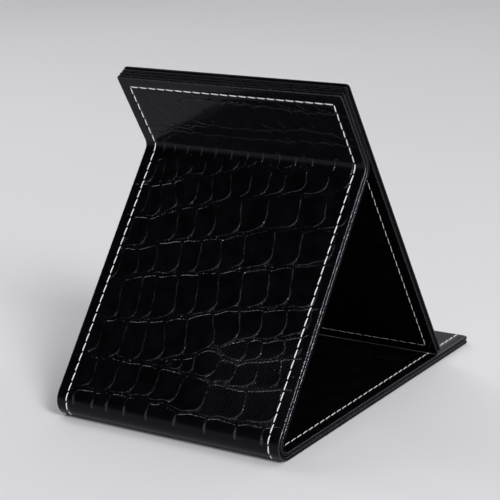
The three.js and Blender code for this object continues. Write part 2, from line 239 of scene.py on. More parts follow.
# The same on the upper part, as (across, up) from its left edge and from the crease
UPPER_LINES = (
    ((0, -4), (120, -4)),
    ((0, 7.5), (15, 7.5), (25, 8.5), (42, 8), (60, 8.3), (80, 8.6), (97, 9.6), (113, 10.5), (120, 10)),
    ((0, 12), (20, 10.5), (30, 11), (38, 13.8), (57, 13.8), (70, 14), (80, 15.5), (92, 17), (104, 16.5),
     (112, 14.2), (120, 13.8)),
    ((0, 22), (18, 18), (21, 24), (30, 25.7), (33, 28), (50, 29.3), (65, 29), (80, 28.6), (97, 28),
     (106, 28.2), (120, 27.2)),
    ((0, 38), (40, 40), (80, 41), (120, 40.5)),
    ((0, 52), (120, 52)),
)
UPPER_CUTS = (
    (13, 30, 42, 50.5, 62, 74, 88, 97, 106, 114),
    (19, 30.5, 40, 49, 57.5, 67, 76, 83, 103),
    (21, 26, 32.5, 44, 54, 64, 72, 82, 91, 99, 107, 115),
    (14, 22, 30, 38, 47, 57, 66, 75, 85, 95, 104, 113),
    (10, 21, 33, 44, 55, 67, 79, 90, 100, 110),
)

# Places across of the cuts that run over the crease
CREASE_CUTS = (5, 10.8, 17, 24.2, 32.2, 40.2, 49, 57.8, 66, 75, 83.6, 92.4, 103.8, 113)
CREASE_CUT_OVER = 2.5
CREASE_CUT_SLANT = 0.8

# Rows of scales under the base, which the photo doesn't show
BASE_ROWS_START = -2.0
BASE_ROWS_END = 176.0
BASE_ROW_HEIGHT = 16.0
BASE_ROW_LEAN = 0.03
BASE_ROW_SWING = 1.6
BASE_ROW_WAVE = 17
BASE_SCALE_WIDTH = 11.5
BASE_FIRST_CUT = 0.35
BASE_FIRST_SWING = 0.3
BASE_FIRST_TURN = 2.4
BASE_CUT_SWING = 0.16
BASE_CUT_WAVE = 1.7
BASE_CUT_TURN = 2.1

# Leatherette. Its gloss and its beads follow how far it is worked, from 0 on the flat to 1 round an edge,
# and are given as (worked, value). Depths of bumps are in metres, noises are (scale, detail).
LEATHER_BLACK = (0.0012, 0.0012, 0.0016, 1)
LEATHER_DARK_GREY = (0.0026, 0.0026, 0.0034, 1)
LEATHER_GLOSS = (0.87, 0.845, 1.0, 1)
LEATHER_MOTTLE = (0.12, 4.0)
OUTER_SHINE = 0.14
OUTER_ROUGH = (0.1, 0.13)
OUTER_GRAIN = 0.12
LINING_SHINE = 0.04
LINING_ROUGH = (0.1, 0.14)
LINING_GRAIN = 0.1
GRAIN_NOISE = (1.6, 3.0)
GRAIN_DEPTH = 0.00004
WORKED_SHINE = ((0.3, 0.75), (0.6, 0.5), (0.78, 1.0), (0.9, 0.02))
GROOVE_WORKED = 0.6
DEEP_WORKED = 0.18
BEAD_NOISE = (1.0, 1.0)
BEAD_SWELL = (-0.5, 0.5)
BEAD_DEPTH = 0.0009
BEAD_SHARE = ((0.0, 0.0), (0.6, 0.35), (0.78, 0.5))

# Slanted hatching on the scales at the leg's lower right: where it begins and is full, across and up. Its
# lines are bumped and also get a painted grey sheen in their colour.
HATCH_X = (-4, -22)
HATCH_UP = (54, 40)
HATCH_FADE = 4
HATCH_TURN = math.radians(-33)
HATCH_SCALE = 0.24
HATCH_WANDER = 2.5
HATCH_DETAIL = 2.0
HATCH_RIDGE = (0.5, 0.95)
HATCH_DEPTH = 0.00005
HATCH_NONE = (0, 0, 0, 1)
HATCH_SHEEN_GREY = (0.0036, 0.0035, 0.0046, 1)

# Thread, board, tape, silvered glass and floor
CLOUD_RANGE = (0.35, 0.65)
THREAD_SHADE = (0.72, 0.72, 0.73, 1)
THREAD_WHITE = (0.88, 0.88, 0.89, 1)
THREAD_ROUGH = 0.7
THREAD_SHEEN = 0.2
FUZZ_NOISE = (4.0, 3.0)
FUZZ_RANGE = (0.2, 0.5)
FUZZ_STRENGTH = 0.4
FIBRE_STRENGTH = 0.3
FIBRE_DEPTH = 0.0001
BOARD_GREY = (0.2, 0.19, 0.175, 1)
BOARD_PALE = (0.33, 0.315, 0.29, 1)
BOARD_FIBRES = (900.0, 6.0)
BOARD_ROUGH = (0.8, 0.95)
TAPE_DULL = (0.62, 0.6, 0.52, 1)
TAPE_PALE = (0.72, 0.7, 0.62, 1)
TAPE_FIBRES = (500.0, 6.0)
TAPE_ROUGH = (0.35, 0.55)
SILVER_DULL = (0.91, 0.92, 0.92, 1)
SILVER_BRIGHT = (0.93, 0.94, 0.94, 1)
SILVER_CLOUDS = (40.0, 3.0)
SILVER_ROUGH = (0.0, 0.008)
GLASS_CLEAR = (0.97, 0.99, 0.98, 1)
GLASS_IOR = 1.52
GLASS_WIPES = (30.0, 4.0)
GLASS_ROUGH = (0.0, 0.01)
FLOOR_COLOUR = (0.72, 0.715, 0.735, 1)
FLOOR_LIGHT = (0.735, 0.73, 0.75, 1)
FLOOR_CLOUDS = (3.0, 3.0)
FLOOR_ROUGH = 0.9
FLOOR_SHINE = 0.1
FLOOR_HALF = 15.0

# Studio: a pale room whose darker parts give the black leatherette its depth. Each part is given by its
# direction, the cosines of the angles from there at its rim and its core, and its colours outside and inside.
ROOM_STRENGTH = 0.81
ROOM_PALE = (0.97, 0.97, 1.0, 1)
ROOM_WHOLE = (1, 1, 1, 1)
ROOM_DARK = (0.01, 0.01, 0.011, 1)
ROOM_DIM = (0.15, 0.15, 0.155, 1)
ROOM_FRONT = (0.2, 0.2, 0.22, 1)
DARK_RIM = math.cos(math.radians(48))
DARK_CORE = math.cos(math.radians(20))
DIM_RIM = 0.6
DIM_CORE = 0.85
FRONT_RIM = math.cos(math.radians(45))
FRONT_CORE = math.cos(math.radians(20))
ROOM_PARTS = (
    ((0.56, 0.38, 0.735), DARK_RIM, DARK_CORE, ROOM_PALE, ROOM_DARK),
    ((-0.95, -0.2, 0), DIM_RIM, DIM_CORE, ROOM_WHOLE, ROOM_DIM),
    ((0.53, 0.80, 0.6), FRONT_RIM, FRONT_CORE, ROOM_WHOLE, ROOM_FRONT),
)
# Lamps, as (name, place, width, power) in metres and watts
LAMPS = (
    ("key", (-1.8, 1.0, 1.45), 0.7, 42),
    ("back", (0.92, -0.2, 1.14), 0.5, 2.3),
    ("left", (1.3, -0.4, 0.8), 0.11, 1.4),
)
LAMP_AIM = (0, 0, 0.06)


# The frame's own measures

def joint(name):
    """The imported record's joint of that name."""
    return next(j for j in frame["joints"] if j["name"] == name)


def turn_of(name):
    """A joint's whole range, in radians."""
    low, high = joint(name)["range_deg"]
    return math.radians(high - low)


def reach(node, direction, origin):
    """How far a CAD node reaches in the side view from a point along a direction."""
    points = np.array([v.co[1:] for v in frame["nodes"][node].data.vertices]) / MM
    return ((points - np.array(origin)) @ np.array(direction)).max()


def heading_vector(heading):
    """The unit vector at an angle from a view's first axis, or one for each of many angles."""
    return np.stack([np.cos(heading), np.sin(heading)], -1)


HALF_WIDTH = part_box("base_outer_skin")[1].x / MM
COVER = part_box("base_lining_skin")[1].z / MM
SPINE_TURN = turn_of("cover_swing") + turn_of("stand_fold")
CREASE_TURN = turn_of("crease_fold")
LEG_HEADING = SPINE_TURN
UPPER_HEADING = LEG_HEADING - CREASE_TURN
CREASE_POINT = np.array(joint("crease_fold")["pos_m"][1:]) / MM
UPPER_ALONG = heading_vector(UPPER_HEADING)
UPPER_OUTWARD = heading_vector(UPPER_HEADING - math.pi / 2)
BASE_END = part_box("base_outer_skin")[0].y / MM
UPPER_LENGTH = reach("upper_outer_skin", UPPER_ALONG, CREASE_POINT)
MIRROR_DROP = reach("mirror_back_skin", -UPPER_ALONG, CREASE_POINT) + MIRROR_FOOT_REACH


# Lines in the side view

class Path:
    """A line in the side view (Y, Z), made of straight and round runs given as (length, turn).

    side is 1 where the shown face looks to the right of the way along it, and -1 to the left.
    """

    def __init__(self, start, heading, runs, side):
        self.side = side
        self.marks = [0.0]
        self.runs = []
        point = np.array(start, float)
        for length, turn in runs:
            self.runs.append((point, heading, turn / length))
            point = self.ahead(point, heading, turn / length, np.array([length]))[0]
            heading += turn
            self.marks.append(self.marks[-1] + length)

    @staticmethod
    def ahead(point, heading, curvature, way):
        """The points a way along a run from its first point."""
        if curvature == 0:
            return point + way[:, None] * heading_vector(heading)
        angles = heading + curvature * way
        y = (np.sin(angles) - math.sin(heading)) / curvature
        z = (math.cos(heading) - np.cos(angles)) / curvature
        return point + np.stack([y, z], -1)

    def at(self, way):
        """The points at the given ways along the line, and the shown face's normals there."""
        flat = np.ravel(way)
        run_of = np.clip(np.searchsorted(self.marks, flat, "right") - 1, 0, len(self.runs) - 1)
        points = np.zeros((len(flat), 2))
        normals = np.zeros((len(flat), 2))
        for index, (point, heading, curvature) in enumerate(self.runs):
            here = run_of == index
            local = flat[here] - self.marks[index]
            points[here] = self.ahead(point, heading, curvature, local)
            normals[here] = heading_vector(heading + curvature * local - self.side * math.pi / 2)
        shape = np.shape(way) + (2,)
        return points.reshape(shape), normals.reshape(shape)

    def place(self, x, way, depth):
        """Points in the frame, a depth under the shown face."""
        points, normals = self.at(way)
        sunk = points - np.asarray(depth)[..., None] * normals
        return np.concatenate([np.asarray(x)[..., None], sunk], -1)


def cover_path(side):
    """The cover's shown face from the base's free end to the top: 1 is the outer face, -1 the lining.

    Its marks are the free end, the spine's start and end, the crease's start and end, and the top.
    """
    half = side * COVER / 2
    spine_bend = SPINE_RADIUS - COVER / 2
    crease_bend = CREASE_RADIUS + COVER / 2
    leg_slope = heading_vector(LEG_HEADING)
    corner_to_crease = (CREASE_POINT[1] - COVER / 2) / leg_slope[1]
    corner_y = CREASE_POINT[0] - corner_to_crease * leg_slope[0]
    spine_cut = spine_bend * math.tan(SPINE_TURN / 2)
    crease_cut = crease_bend * math.tan(CREASE_TURN / 2)
    runs = (
        (corner_y - spine_cut - BASE_END, 0),
        ((spine_bend + half) * SPINE_TURN, SPINE_TURN),
        (corner_to_crease - spine_cut - crease_cut, 0),
        ((crease_bend - half) * CREASE_TURN, -CREASE_TURN),
        (UPPER_LENGTH - crease_cut, 0),
    )
    return Path((BASE_END, COVER / 2 - half), 0.0, runs, side)


def mirror_path(depth, side):
    """A face of the mirror panel from its lower edge to the top, a depth in front of the cover's lining."""
    start = CREASE_POINT - UPPER_OUTWARD * (COVER / 2 + depth) - UPPER_ALONG * MIRROR_DROP
    return Path(start, UPPER_HEADING, ((MIRROR_DROP + UPPER_LENGTH, 0),), side)


OUTER = cover_path(1)
LINING = cover_path(-1)
MIRROR_THICKNESS = MIRROR_BACK_LEAF + BOND_ROOM + MIRROR_FRONT_LEAF
MIRROR_BACK = mirror_path(BOND_ROOM, 1)
MIRROR_FRONT = mirror_path(BOND_ROOM + MIRROR_THICKNESS, -1)
LEG_ZERO = OUTER.marks[2] - (SPINE_RADIUS - COVER) * math.tan(SPINE_TURN / 2)


def spine_middle(path):
    """The way along a cover path to the middle of the spine."""
    return (path.marks[1] + path.marks[2]) / 2


def ease(value, start, end):
    """0 before start, 1 after end, smooth between."""
    share = np.clip((value - start) / (end - start), 0, 1)
    return share * share * (3 - 2 * share)


# Meshes

def add_object(name, data):
    """A new object in the scene."""
    obj = bpy.data.objects.new(name, data)
    bpy.context.scene.collection.objects.link(obj)
    return obj


def make_piece(name, points, faces, material, sheet, worked=None):
    """A smooth mesh object from points in millimetres, with its place on the flat sheet as a map.

    worked says how far each point lies round a turned edge or down in a groove, from 0 to 1.
    """
    mesh = bpy.data.meshes.new(name)
    mesh.from_pydata((np.reshape(points, (-1, 3)) * MM).tolist(), [], faces)
    work = bmesh.new()
    work.from_mesh(mesh)
    bmesh.ops.recalc_face_normals(work, faces=work.faces)
    work.to_mesh(mesh)
    work.free()
    mesh.shade_smooth()
    mesh.set_sharp_from_angle(angle=SHARP_ANGLE)
    corners = np.zeros(len(mesh.loops), np.int32)
    mesh.loops.foreach_get("vertex_index", corners)
    layer = mesh.uv_layers.new(name="sheet")
    layer.uv.foreach_set("vector", np.reshape(sheet, (-1, 2))[corners].astype(np.float32).ravel())
    if worked is not None:
        mesh.attributes.new("worked", "FLOAT", "POINT").data.foreach_set("value", np.ravel(worked))
    mesh.materials.append(material)
    return add_object(name, mesh)


def tube_faces(rings, sides, first=0, closed=False):
    """Faces of a tube whose rings of points follow each other, capped or closed to a ring."""
    here = first + np.arange(rings * sides).reshape(rings, sides)
    ahead = np.roll(here, -1, 0)
    corners = (here, np.roll(here, -1, 1), np.roll(ahead, -1, 1), ahead)
    quads = np.stack(corners, -1)
    if closed:
        return quads.reshape(-1, 4).tolist()
    return [*quads[:-1].reshape(-1, 4).tolist(), here[0, ::-1].tolist(), here[-1].tolist()]


def edge_distance(x, from_end):
    """How far inside a leaf's rounded outline a point lies."""
    side = HALF_WIDTH - np.abs(x)
    straight = np.minimum(side, from_end)
    into_side = np.clip(CORNER - side, 0, None)
    into_end = np.clip(CORNER - from_end, 0, None)
    rounded = CORNER - np.hypot(into_side, into_end)
    in_corner = (into_side > 0) & (into_end > 0)
    return np.clip(np.where(in_corner, rounded, straight), 0, None)


def rounding(distance, thickness):
    """How far a leaf's face drops towards its turned edge."""
    share = 1 - np.clip(distance, 0, EDGE) / EDGE
    return thickness / 2 * (1 - (1 - share ** EDGE_POWER) ** (1 / EDGE_POWER))


def turned_edge(angles):
    """Distances from a leaf's edge, closer together where it turns."""
    return EDGE * (1 - np.cos(angles))


def row_places(span, free, step):
    """Ways along a leaf for its rows, closer together at a free end."""
    start, end = span
    ways = []
    if free[0]:
        ways += list(start + turned_edge(END_ANGLES))
        start += EDGE
    else:
        ways.append(start)
    finish = end - EDGE if free[1] else end
    count = max(2, round((finish - start) / step))
    ways += list(np.linspace(start, finish, count + 1)[1:])
    if free[1]:
        ways += list(end - turned_edge(END_ANGLES[-2::-1]))
    return np.array(ways)


def column_places(step):
    """Places across a leaf, closer together at both edges."""
    edge = turned_edge(EDGE_ANGLES)
    count = round(2 * (HALF_WIDTH - EDGE) / step)
    middle = np.linspace(-HALF_WIDTH + EDGE, HALF_WIDTH - EDGE, count + 1)
    return np.concatenate([-HALF_WIDTH + edge[:-1], middle, HALF_WIDTH - edge[-2::-1]])


def edge_ripple(x, way):
    """Small waves that the turned leatherette has along an edge."""
    side = np.sign(x)
    long_wave = np.sin(way * RIPPLE_ALONG[0] + side)
    short_wave = np.sin(way * RIPPLE_ALONG[1] + 2 * side) * np.sin(x * RIPPLE_ACROSS)
    return EDGE_RIPPLE * (long_wave + short_wave)


def leaf(name, path, span, free, thickness, step, sink, material, gather=None):
    """A board wrapped in leatherette: a shown face with its relief, turned edges and a plain inside."""
    ways = row_places(span, free, step)
    shown = column_places(step)
    hidden = column_places(2 * (HALF_WIDTH - EDGE) / HIDDEN_COLUMNS)[1:-1][::-1]
    columns = np.concatenate([shown, hidden])
    from_start = ways - span[0] if free[0] else np.full(len(ways), np.inf)
    from_finish = span[1] - ways if free[1] else np.full(len(ways), np.inf)
    from_end = np.minimum(from_start, from_finish)
    into_corner = np.clip(CORNER - from_end, 0, CORNER)
    half_width = HALF_WIDTH - CORNER + np.sqrt(CORNER ** 2 - into_corner ** 2)
    x = half_width[:, None] / HALF_WIDTH * columns
    way = np.repeat(ways[:, None], len(columns), 1)
    distance = edge_distance(x, np.repeat(from_end[:, None], len(columns), 1))
    drop = rounding(distance, thickness)
    on_face = np.arange(len(columns)) < len(shown)
    depth = np.where(on_face, drop, thickness - drop)
    face = np.s_[:, :len(shown)]
    if gather:
        to_end = np.minimum(way - span[0], span[1] - way)[face]
        room = np.clip(np.minimum(distance[face] - EDGE, to_end) / GATHER_REACH, 0, 1)
        x[face], way[face] = gather(x[face], way[face], room)
    fade = np.clip(distance[face] / RELIEF_FADE, 0, 1)
    relief = np.minimum(sink(x[face], way[face]), DEEPEST_RELIEF) * fade
    depth[face] += relief
    depth += edge_ripple(x, way) * (1 - np.clip(distance / RIPPLE_FADE, 0, 1))
    points = path.place(x, way, depth)
    sheet = np.stack([x, way], -1)
    worked = 1 - ease(distance, 0, EDGE)
    in_groove = GROOVE_WORKED * ease(relief, PLAIN_RELIEF, GROOVE_DEPTH)
    in_groove += DEEP_WORKED * ease(relief, GROOVE_DEPTH, DEEPEST_RELIEF)
    worked[face] = np.maximum(worked[face], in_groove)
    return make_piece(name, points, tube_faces(*x.shape), material, sheet, worked)


# Embossed scales

def drawn_line(points, across):
    """The height of a drawn line at places across, with its corners rounded off."""
    places, heights = np.transpose(points)
    return sum(np.interp(across + o, places, heights) for o in LINE_ROUNDING) / len(LINE_ROUNDING)


def curve_through(first, control, last):
    """Points of a bend from first to last, pulled to control."""
    share = np.linspace(0, 1, BEND_POINTS)[:, None]
    first, control, last = (np.array(p, float) for p in (first, control, last))
    return (1 - share) ** 2 * first + 2 * share * (1 - share) * control + share ** 2 * last


def row_grooves(low, high, cuts, phase, style):
    """Grooves of one row of scales, as (across, up, strength) along each.

    Each runs along the top of a scale, turns down its left side, and bends away under the scale before it.
    """
    cuts = np.array(cuts, float)
    usual_width = np.diff(cuts).mean()

    def gap(across):
        swing = 0.5 + 0.5 * np.sin(across / ROW_GAP_WAVE + phase)
        return style["gap"] * (1 + ROW_GAP_SWING * swing)

    def floor(across, sunk=0):
        return drawn_line(low, across) + gap(across) * (1 - SCALE_FOOT_SINK * sunk)

    def ceiling(across):
        return drawn_line(high, across) - gap(across + ROW_GAP_WAVE / 2)

    beside = usual_width / SCALE_SLOPE_PARTS
    height = ceiling(cuts) - floor(cuts)
    both_rise = floor(cuts + beside) + ceiling(cuts + beside) - floor(cuts - beside) - ceiling(cuts - beside)
    slope = both_rise / 2 / (2 * beside)
    tops = cuts - slope * height / 2
    feet = cuts + slope * height / 2
    widths = np.diff(cuts, append=cuts[-1] + usual_width)
    widths_before = np.diff(cuts, prepend=cuts[0] - usual_width)
    share = np.linspace(1, 0, RUN_POINTS)
    boost = 1 + style["foot_boost"] * np.sin(np.linspace(0, math.pi, BEND_POINTS))
    strength = np.concatenate([
        1 - (1 - END_STRENGTH) * share,
        np.linspace(1, SIDE_STRENGTH, BEND_POINTS),
        np.linspace(SIDE_STRENGTH, 1, BEND_POINTS) * boost,
        END_STRENGTH + (1 - END_STRENGTH) * share,
    ])
    lines = []
    for top, foot, tall, width, width_before in zip(tops, feet, height, widths, widths_before):
        top_corner = min(SCALE_TOP_CORNER, width / SCALE_TOP_PARTS, tall / SCALE_TOP_PARTS)
        foot_corner = min(SCALE_FOOT_CORNER, width_before / SCALE_FOOT_PARTS, tall / SCALE_FOOT_PARTS)
        top_run = top + top_corner + share * (width - top_corner)
        top_height = ceiling(top_run) + style["arch"] * np.sin(math.pi * share)
        foot_run = foot - foot_corner - (1 - share) * (SCALE_FOOT_RUN * width_before - foot_corner)
        upper_end = np.array((top, top_height[-1]))
        lower_end = np.array((foot, floor(foot)))
        way_down = (lower_end - upper_end) / max(np.hypot(*(lower_end - upper_end)), 1)
        side_end = lower_end - way_down * foot_corner
        foot_start = np.array((foot_run[0], floor(foot_run[0])))
        pulled = lower_end + SCALE_FOOT_CHAMFER * ((side_end + foot_start) / 2 - lower_end)
        line = np.concatenate([
            np.stack([top_run, top_height], -1),
            curve_through((top_run[-1], top_height[-1]), upper_end, upper_end + way_down * top_corner),
            curve_through(side_end, pulled, foot_start),
            np.stack([foot_run, floor(foot_run, 1 - share)], -1),
        ])
        lines.append(wobbly(np.column_stack([line, strength])))
    return lines


def slanted_waves(waves, across, up):
    """Waves over the sheet added up, each given as (size, (length across, length up))."""
    return sum(size * np.sin(across / wide + up / tall) for size, (wide, tall) in waves)


def wobbly(line):
    """A line in short steps, with small bends as hide has them."""
    lengths = np.concatenate([[0], np.cumsum(np.hypot(*np.diff(line[:, :2], axis=0).T))])
    ways = np.linspace(0, lengths[-1], max(2, round(lengths[-1] / LINE_STEP)))
    across, up, strength = (np.interp(ways, lengths, values) for values in line.T)
    bent_across = across + WOBBLE * slanted_waves(WOBBLE_SIDEWAYS, across, up)
    bent_up = up + WOBBLE * slanted_waves(WOBBLE_UPWARDS, across, up)
    return np.column_stack([bent_across, bent_up, strength])


def wrinkle(points, phase):
    """A thin broken crease that wanders along a line between two rows."""
    across = np.arange(0, 2 * HALF_WIDTH, LINE_STEP)
    short_wave = WRINKLE_SWING * np.sin(across / WRINKLE_WAVES[0] + phase)
    up = drawn_line(points, across) + short_wave * np.sin(across / WRINKLE_WAVES[1] + 2 * phase)
    whole = np.sin(across / WRINKLE_BREAKS[0] + phase)
    whole = whole + WRINKLE_BREAK_SHARE * np.sin(across / WRINKLE_BREAKS[1])
    return np.column_stack([across, up, WRINKLE_STRENGTH * np.clip(whole, 0, 1)])


def read_grooves(lines, cuts, style):
    """All grooves of rows of scales: each row lies between two lines that follow each other."""
    grooves = []
    for index, (low, high, row_cuts) in enumerate(zip(lines, lines[1:], cuts)):
        grooves += row_grooves(low, high, row_cuts, index * ROW_PHASE, style)
    return grooves


def flipped_line(points):
    """A drawn line seen from its other side."""
    return [(2 * HALF_WIDTH - across, *rest) for across, *rest in reversed(points)]


def read_flipped_grooves(lines, cuts, style):
    """All grooves of rows whose scales turn down on their right."""
    flipped_cuts = [[2 * HALF_WIDTH - cut for cut in reversed(row_cuts)] for row_cuts in cuts]
    flipped = read_grooves([flipped_line(line) for line in lines], flipped_cuts, style)
    return [np.array(flipped_line(list(groove))) for groove in flipped]


def base_grooves():
    """All grooves under the base: waved lines with staggered cuts between them."""
    across = np.linspace(0, 2 * HALF_WIDTH, RUN_POINTS)
    edges = np.arange(BASE_ROWS_START, BASE_ROWS_END + BASE_ROW_HEIGHT, BASE_ROW_HEIGHT)
    lines, cuts = [], []
    for index, edge in enumerate(edges):
        swing = BASE_ROW_SWING * np.sin(across / BASE_ROW_WAVE + index)
        lines.append(np.column_stack([across, edge + BASE_ROW_LEAN * across + swing]))
        first = BASE_SCALE_WIDTH * (BASE_FIRST_CUT + BASE_FIRST_SWING * math.sin(index * BASE_FIRST_TURN))
        even = first + np.arange(0, 2 * HALF_WIDTH, BASE_SCALE_WIDTH)
        shift = BASE_CUT_SWING * BASE_SCALE_WIDTH * np.sin(even * BASE_CUT_WAVE + index * BASE_CUT_TURN)
        cuts.append(even + shift)
    return read_grooves(lines, cuts, LEG_SCALES)


def on_sheet(grooves, zero, start, end):
    """Grooves as (x, way, strength) on the outer face, cut off at the ends of a stretch of the way."""
    placed = []
    for groove in grooves:
        way = groove[:, 1] + zero
        kept = (way > start) & (way < end)
        if kept.sum() > 1:
            placed.append(np.column_stack([HALF_WIDTH - groove[:, 0], way, groove[:, 2]])[kept])
    return placed


def nearest_on_line(points, line):
    """The points' nearest places on a line, their distances and the line's strengths there."""
    starts, steps = line[:-1], np.diff(line, axis=0)
    lengths = np.maximum((steps[:, :2] ** 2).sum(-1), LEAST_SQUARE)
    away = points[:, None] - starts[:, :2]
    share = np.clip((away * steps[:, :2]).sum(-1) / lengths, 0, 1)
    places = starts + share[..., None] * steps
    distances = np.hypot(*np.moveaxis(points[:, None] - places[..., :2], -1, 0))
    best = distances.argmin(-1)
    row = np.arange(len(points))
    return places[row, best, :2], distances[row, best], places[row, best, 2]


def uneven(x, way):
    """A share that makes a groove shallower here and there along its way."""
    first, second, broad = (np.sin(a * x + b * way) for a, b in (*UNEVEN_FINE, UNEVEN_BROAD))
    waves = first * second + UNEVEN_BROAD_SHARE * broad
    return 1 - GROOVE_UNEVEN * (0.5 + waves / 2)


def on_spine(way):
    """1 on the spine, 0 on the leg."""
    return 1 - ease(way, SPINE_END - SPINE_BLEND, SPINE_END)


def search_grooves(x, way):
    """For points of the outer face: the embossing's depth, the nearest groove's place and its distance."""
    points = np.stack([np.ravel(x), np.ravel(way)], -1)
    depth = np.zeros(len(points))
    nearest = points.copy()
    distance = np.full(len(points), GROOVE_REACH)
    for line in OUTER_GROOVES:
        low = line[:, :2].min(0) - GROOVE_REACH
        high = line[:, :2].max(0) + GROOVE_REACH
        near = np.flatnonzero(((points > low) & (points < high)).all(-1))
        if not len(near):
            continue
        place, away, strength = nearest_on_line(points[near], line)
        radius = GROOVE_RADIUS * (1 + SPINE_WIDEN * on_spine(points[near, 1]))
        groove = GROOVE_DEPTH * np.exp(-(away / radius) ** 2)
        pillow = PILLOW_DEPTH * np.clip(1 - away / GROOVE_REACH, 0, 1) ** 2
        depth[near] = np.maximum(depth[near], (groove + pillow) * strength * uneven(*place.T))
        closer = away < distance[near]
        nearest[near[closer]] = place[closer]
        distance[near[closer]] = away[closer]
    return depth.reshape(np.shape(x)), nearest.reshape(np.shape(x) + (2,)), distance.reshape(np.shape(x))


def outer_gather(x, way, room):
    """Points of the outer face drawn towards the grooves, so that these come out sharp."""
    nearest, distance = search_grooves(x, way)[1:]
    share = np.clip(distance / GATHER_REACH, LEAST_SHARE, 1)
    pull = (1 - share ** (GATHER_POWER - 1)) * room
    return x + (nearest[..., 0] - x) * pull, way + (nearest[..., 1] - way) * pull


SPINE_START, SPINE_END, CREASE_START, UPPER_START = OUTER.marks[1:5]
LEG_GROOVES = read_grooves(LEG_LINES, LEG_CUTS, LEG_SCALES)
for number, row_line in enumerate(LEG_LINES):
    LEG_GROOVES += [wrinkle(row_line, number * turn + start) for turn, start in WRINKLE_PHASES]
UPPER_GROOVES = read_flipped_grooves(UPPER_LINES, UPPER_CUTS, UPPER_SCALES)
CREASE_GROOVES = [
    np.array((
        (across, -CREASE_CUT_OVER, END_STRENGTH),
        (across + CREASE_CUT_SLANT, UPPER_START - CREASE_START + CREASE_CUT_OVER, END_STRENGTH),
    ))
    for across in CREASE_CUTS
]
OUTER_GROOVES = (
    on_sheet(base_grooves(), 0, -GROOVE_REACH, SPINE_START)
    + on_sheet(LEG_GROOVES, LEG_ZERO, SPINE_END - SPINE_CUTS_OVER, CREASE_START)
    + on_sheet(CREASE_GROOVES, CREASE_START, CREASE_START - GROOVE_REACH, UPPER_START + GROOVE_REACH)
    + on_sheet(UPPER_GROOVES, UPPER_START, UPPER_START, OUTER.marks[-1] + GROOVE_REACH)
)


def outer_relief(way):
    """How strong the embossing is along the outer face."""
    base = BASE_RELIEF * (1 - ease(way, SPINE_START - BASE_FADE, SPINE_START))
    cuts_start, cuts_full = (SPINE_END - before for before in SPINE_CUTS_END)
    leg = ease(way, cuts_start, cuts_full) * (1 + SPINE_OPEN * on_spine(way))
    over_crease = ease(way, *(CREASE_START + after for after in CREASE_FADE))
    on_upper = ease(way, *(UPPER_START + after for after in UPPER_FADE))
    crease = 1 - (1 - CREASE_RELIEF) * over_crease
    upper = 1 - (1 - UPPER_RELIEF / CREASE_RELIEF) * on_upper
    return base + leg * crease * upper


def outer_sink(x, way):
    """Depth of the embossing and sewing over the cover's outer face."""
    beyond_sewing = ease(np.abs(x), HALF_WIDTH - STITCH_INSET, HALF_WIDTH - STITCH_INSET / 2)
    margin = 1 - (1 - MARGIN_RELIEF) * beyond_sewing
    share_across = 0.5 - x / (2 * HALF_WIDTH)
    side = LEFT_RELIEF + (RIGHT_RELIEF - LEFT_RELIEF) * share_across
    depth = search_grooves(x, way)[0] * outer_relief(way) * margin * side
    return np.maximum(depth, sewing_sink(x, way, OUTER_STITCHES))


def lining_sink(x, way):
    """Depth of the lining's faint waves and its sewing."""
    wave = slanted_waves(((SHEET_WAVE, LINING_WAVE),), x, way) * np.sin(way / LINING_WAVE_ALONG)
    return SHEET_SINK + wave + sewing_sink(x, way, LINING_STITCHES)


def mirror_sink(x, way):
    """Depth of the mirror panel's faint waves and its sewing."""
    wave = slanted_waves(((SHEET_WAVE, MIRROR_WAVE),), x, way)
    return SHEET_SINK + wave + sewing_sink(x, way, MIRROR_STITCHES)


# Sewing

def stitch_line(start, end):
    """Stitches on a straight row, as (x, way, heading of the row) at each middle."""
    start, end = np.array(start, float), np.array(end, float)
    length = np.hypot(*(end - start))
    count = max(1, round(length / STITCH_PITCH))
    share = (np.arange(count) + 0.5) / count
    middles = start + share[:, None] * (end - start)
    heading = math.atan2(end[1] - start[1], end[0] - start[0])
    return np.column_stack([middles, np.full(count, heading)])


def side_rows(path_start, path_end):
    """The two rows along a cover's sides."""
    x = HALF_WIDTH - STITCH_INSET
    return np.concatenate([stitch_line((s * x, path_start), (s * x, path_end)) for s in (-1, 1)])


def loop_rows(length):
    """Rows round all four sides of the mirror panel."""
    x = HALF_WIDTH - STITCH_INSET
    low, high = STITCH_INSET, length - STITCH_INSET
    corners = ((-x, low), (x, low), (x, high), (-x, high), (-x, low))
    return np.concatenate([stitch_line(a, b) for a, b in zip(corners, corners[1:])])


def sewing_sink(x, way, stitches):
    """The dent of a row of stitches, deepest at the needle's holes."""
    points = np.stack([np.ravel(x), np.ravel(way)], -1)
    depth = np.zeros(len(points))
    for middle, direction in zip(stitches[:, :2], heading_vector(stitches[:, 2])):
        near = np.flatnonzero((np.abs(points - middle) < STITCH_PITCH).all(-1))
        away = points[near] - middle
        run = np.abs(away @ direction)
        beside = np.abs(away @ np.array((-direction[1], direction[0])))
        in_row = np.clip(PUCKER_RUN - PUCKER_RUN * run / STITCH_PITCH, 0, 1)
        dent = PUCKER_DEPTH * np.exp(-(beside / PUCKER_RADIUS) ** 2) * in_row
        to_hole = np.hypot(run - STITCH_LENGTH / 2, beside)
        hole = HOLE_DEPTH * np.exp(-(to_hole / HOLE_RADIUS) ** 2)
        depth[near] = np.maximum(depth[near], np.maximum(dent, hole))
    return depth.reshape(np.shape(x))


def thread_stand(path, way):
    """How high a thread's middle stands over the face: it is flush where the base lies on the table."""
    if path is not OUTER:
        return THREAD_STAND
    lifted = ease(way, path.marks[1], spine_middle(path))
    return THREAD_SUNK + (THREAD_STAND - THREAD_SUNK) * lifted


